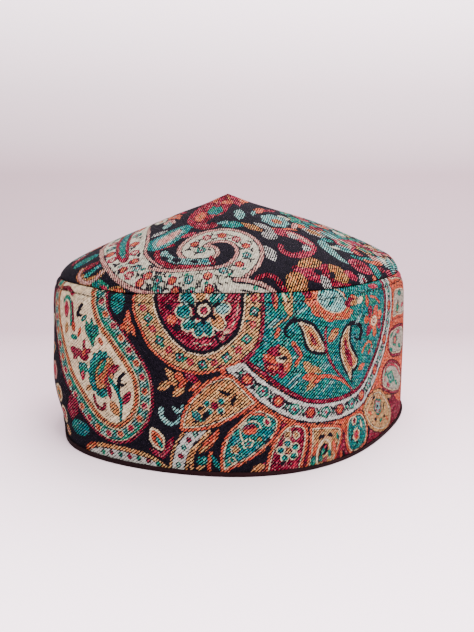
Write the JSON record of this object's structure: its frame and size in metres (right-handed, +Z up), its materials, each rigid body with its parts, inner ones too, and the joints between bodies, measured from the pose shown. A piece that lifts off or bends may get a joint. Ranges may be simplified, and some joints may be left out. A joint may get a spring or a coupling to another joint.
{
  "type": "kashmiri cap",
  "caption": "Kashmiri cap with a stiff oval side band, a low peaked crown and a dark edge binding, open below for the head.",
  "frame": {"origin": "on the surface the cap stands on, under the middle of its box", "axes": "+X along the head's length, the cap's longest extent; +Z up to the crown's tip; the viewer is on the -Y side"},
  "size_m": [0.1976, 0.1736, 0.1194],
  "materials": {
    "crown_cloth": "woven shawl cloth, near-black ground with cream, teal, crimson and gold paisley, matte",
    "band_cloth": "the same woven shawl cloth, with larger paisleys in cream, maroon and teal, matte",
    "binding_cloth": "plain very dark maroon cotton, matte"
  },
  "bodies": {
    "root": {"crown": "crown_cloth", "side_band": "band_cloth", "edge_binding": "binding_cloth"}
  },
  "joints": []
}
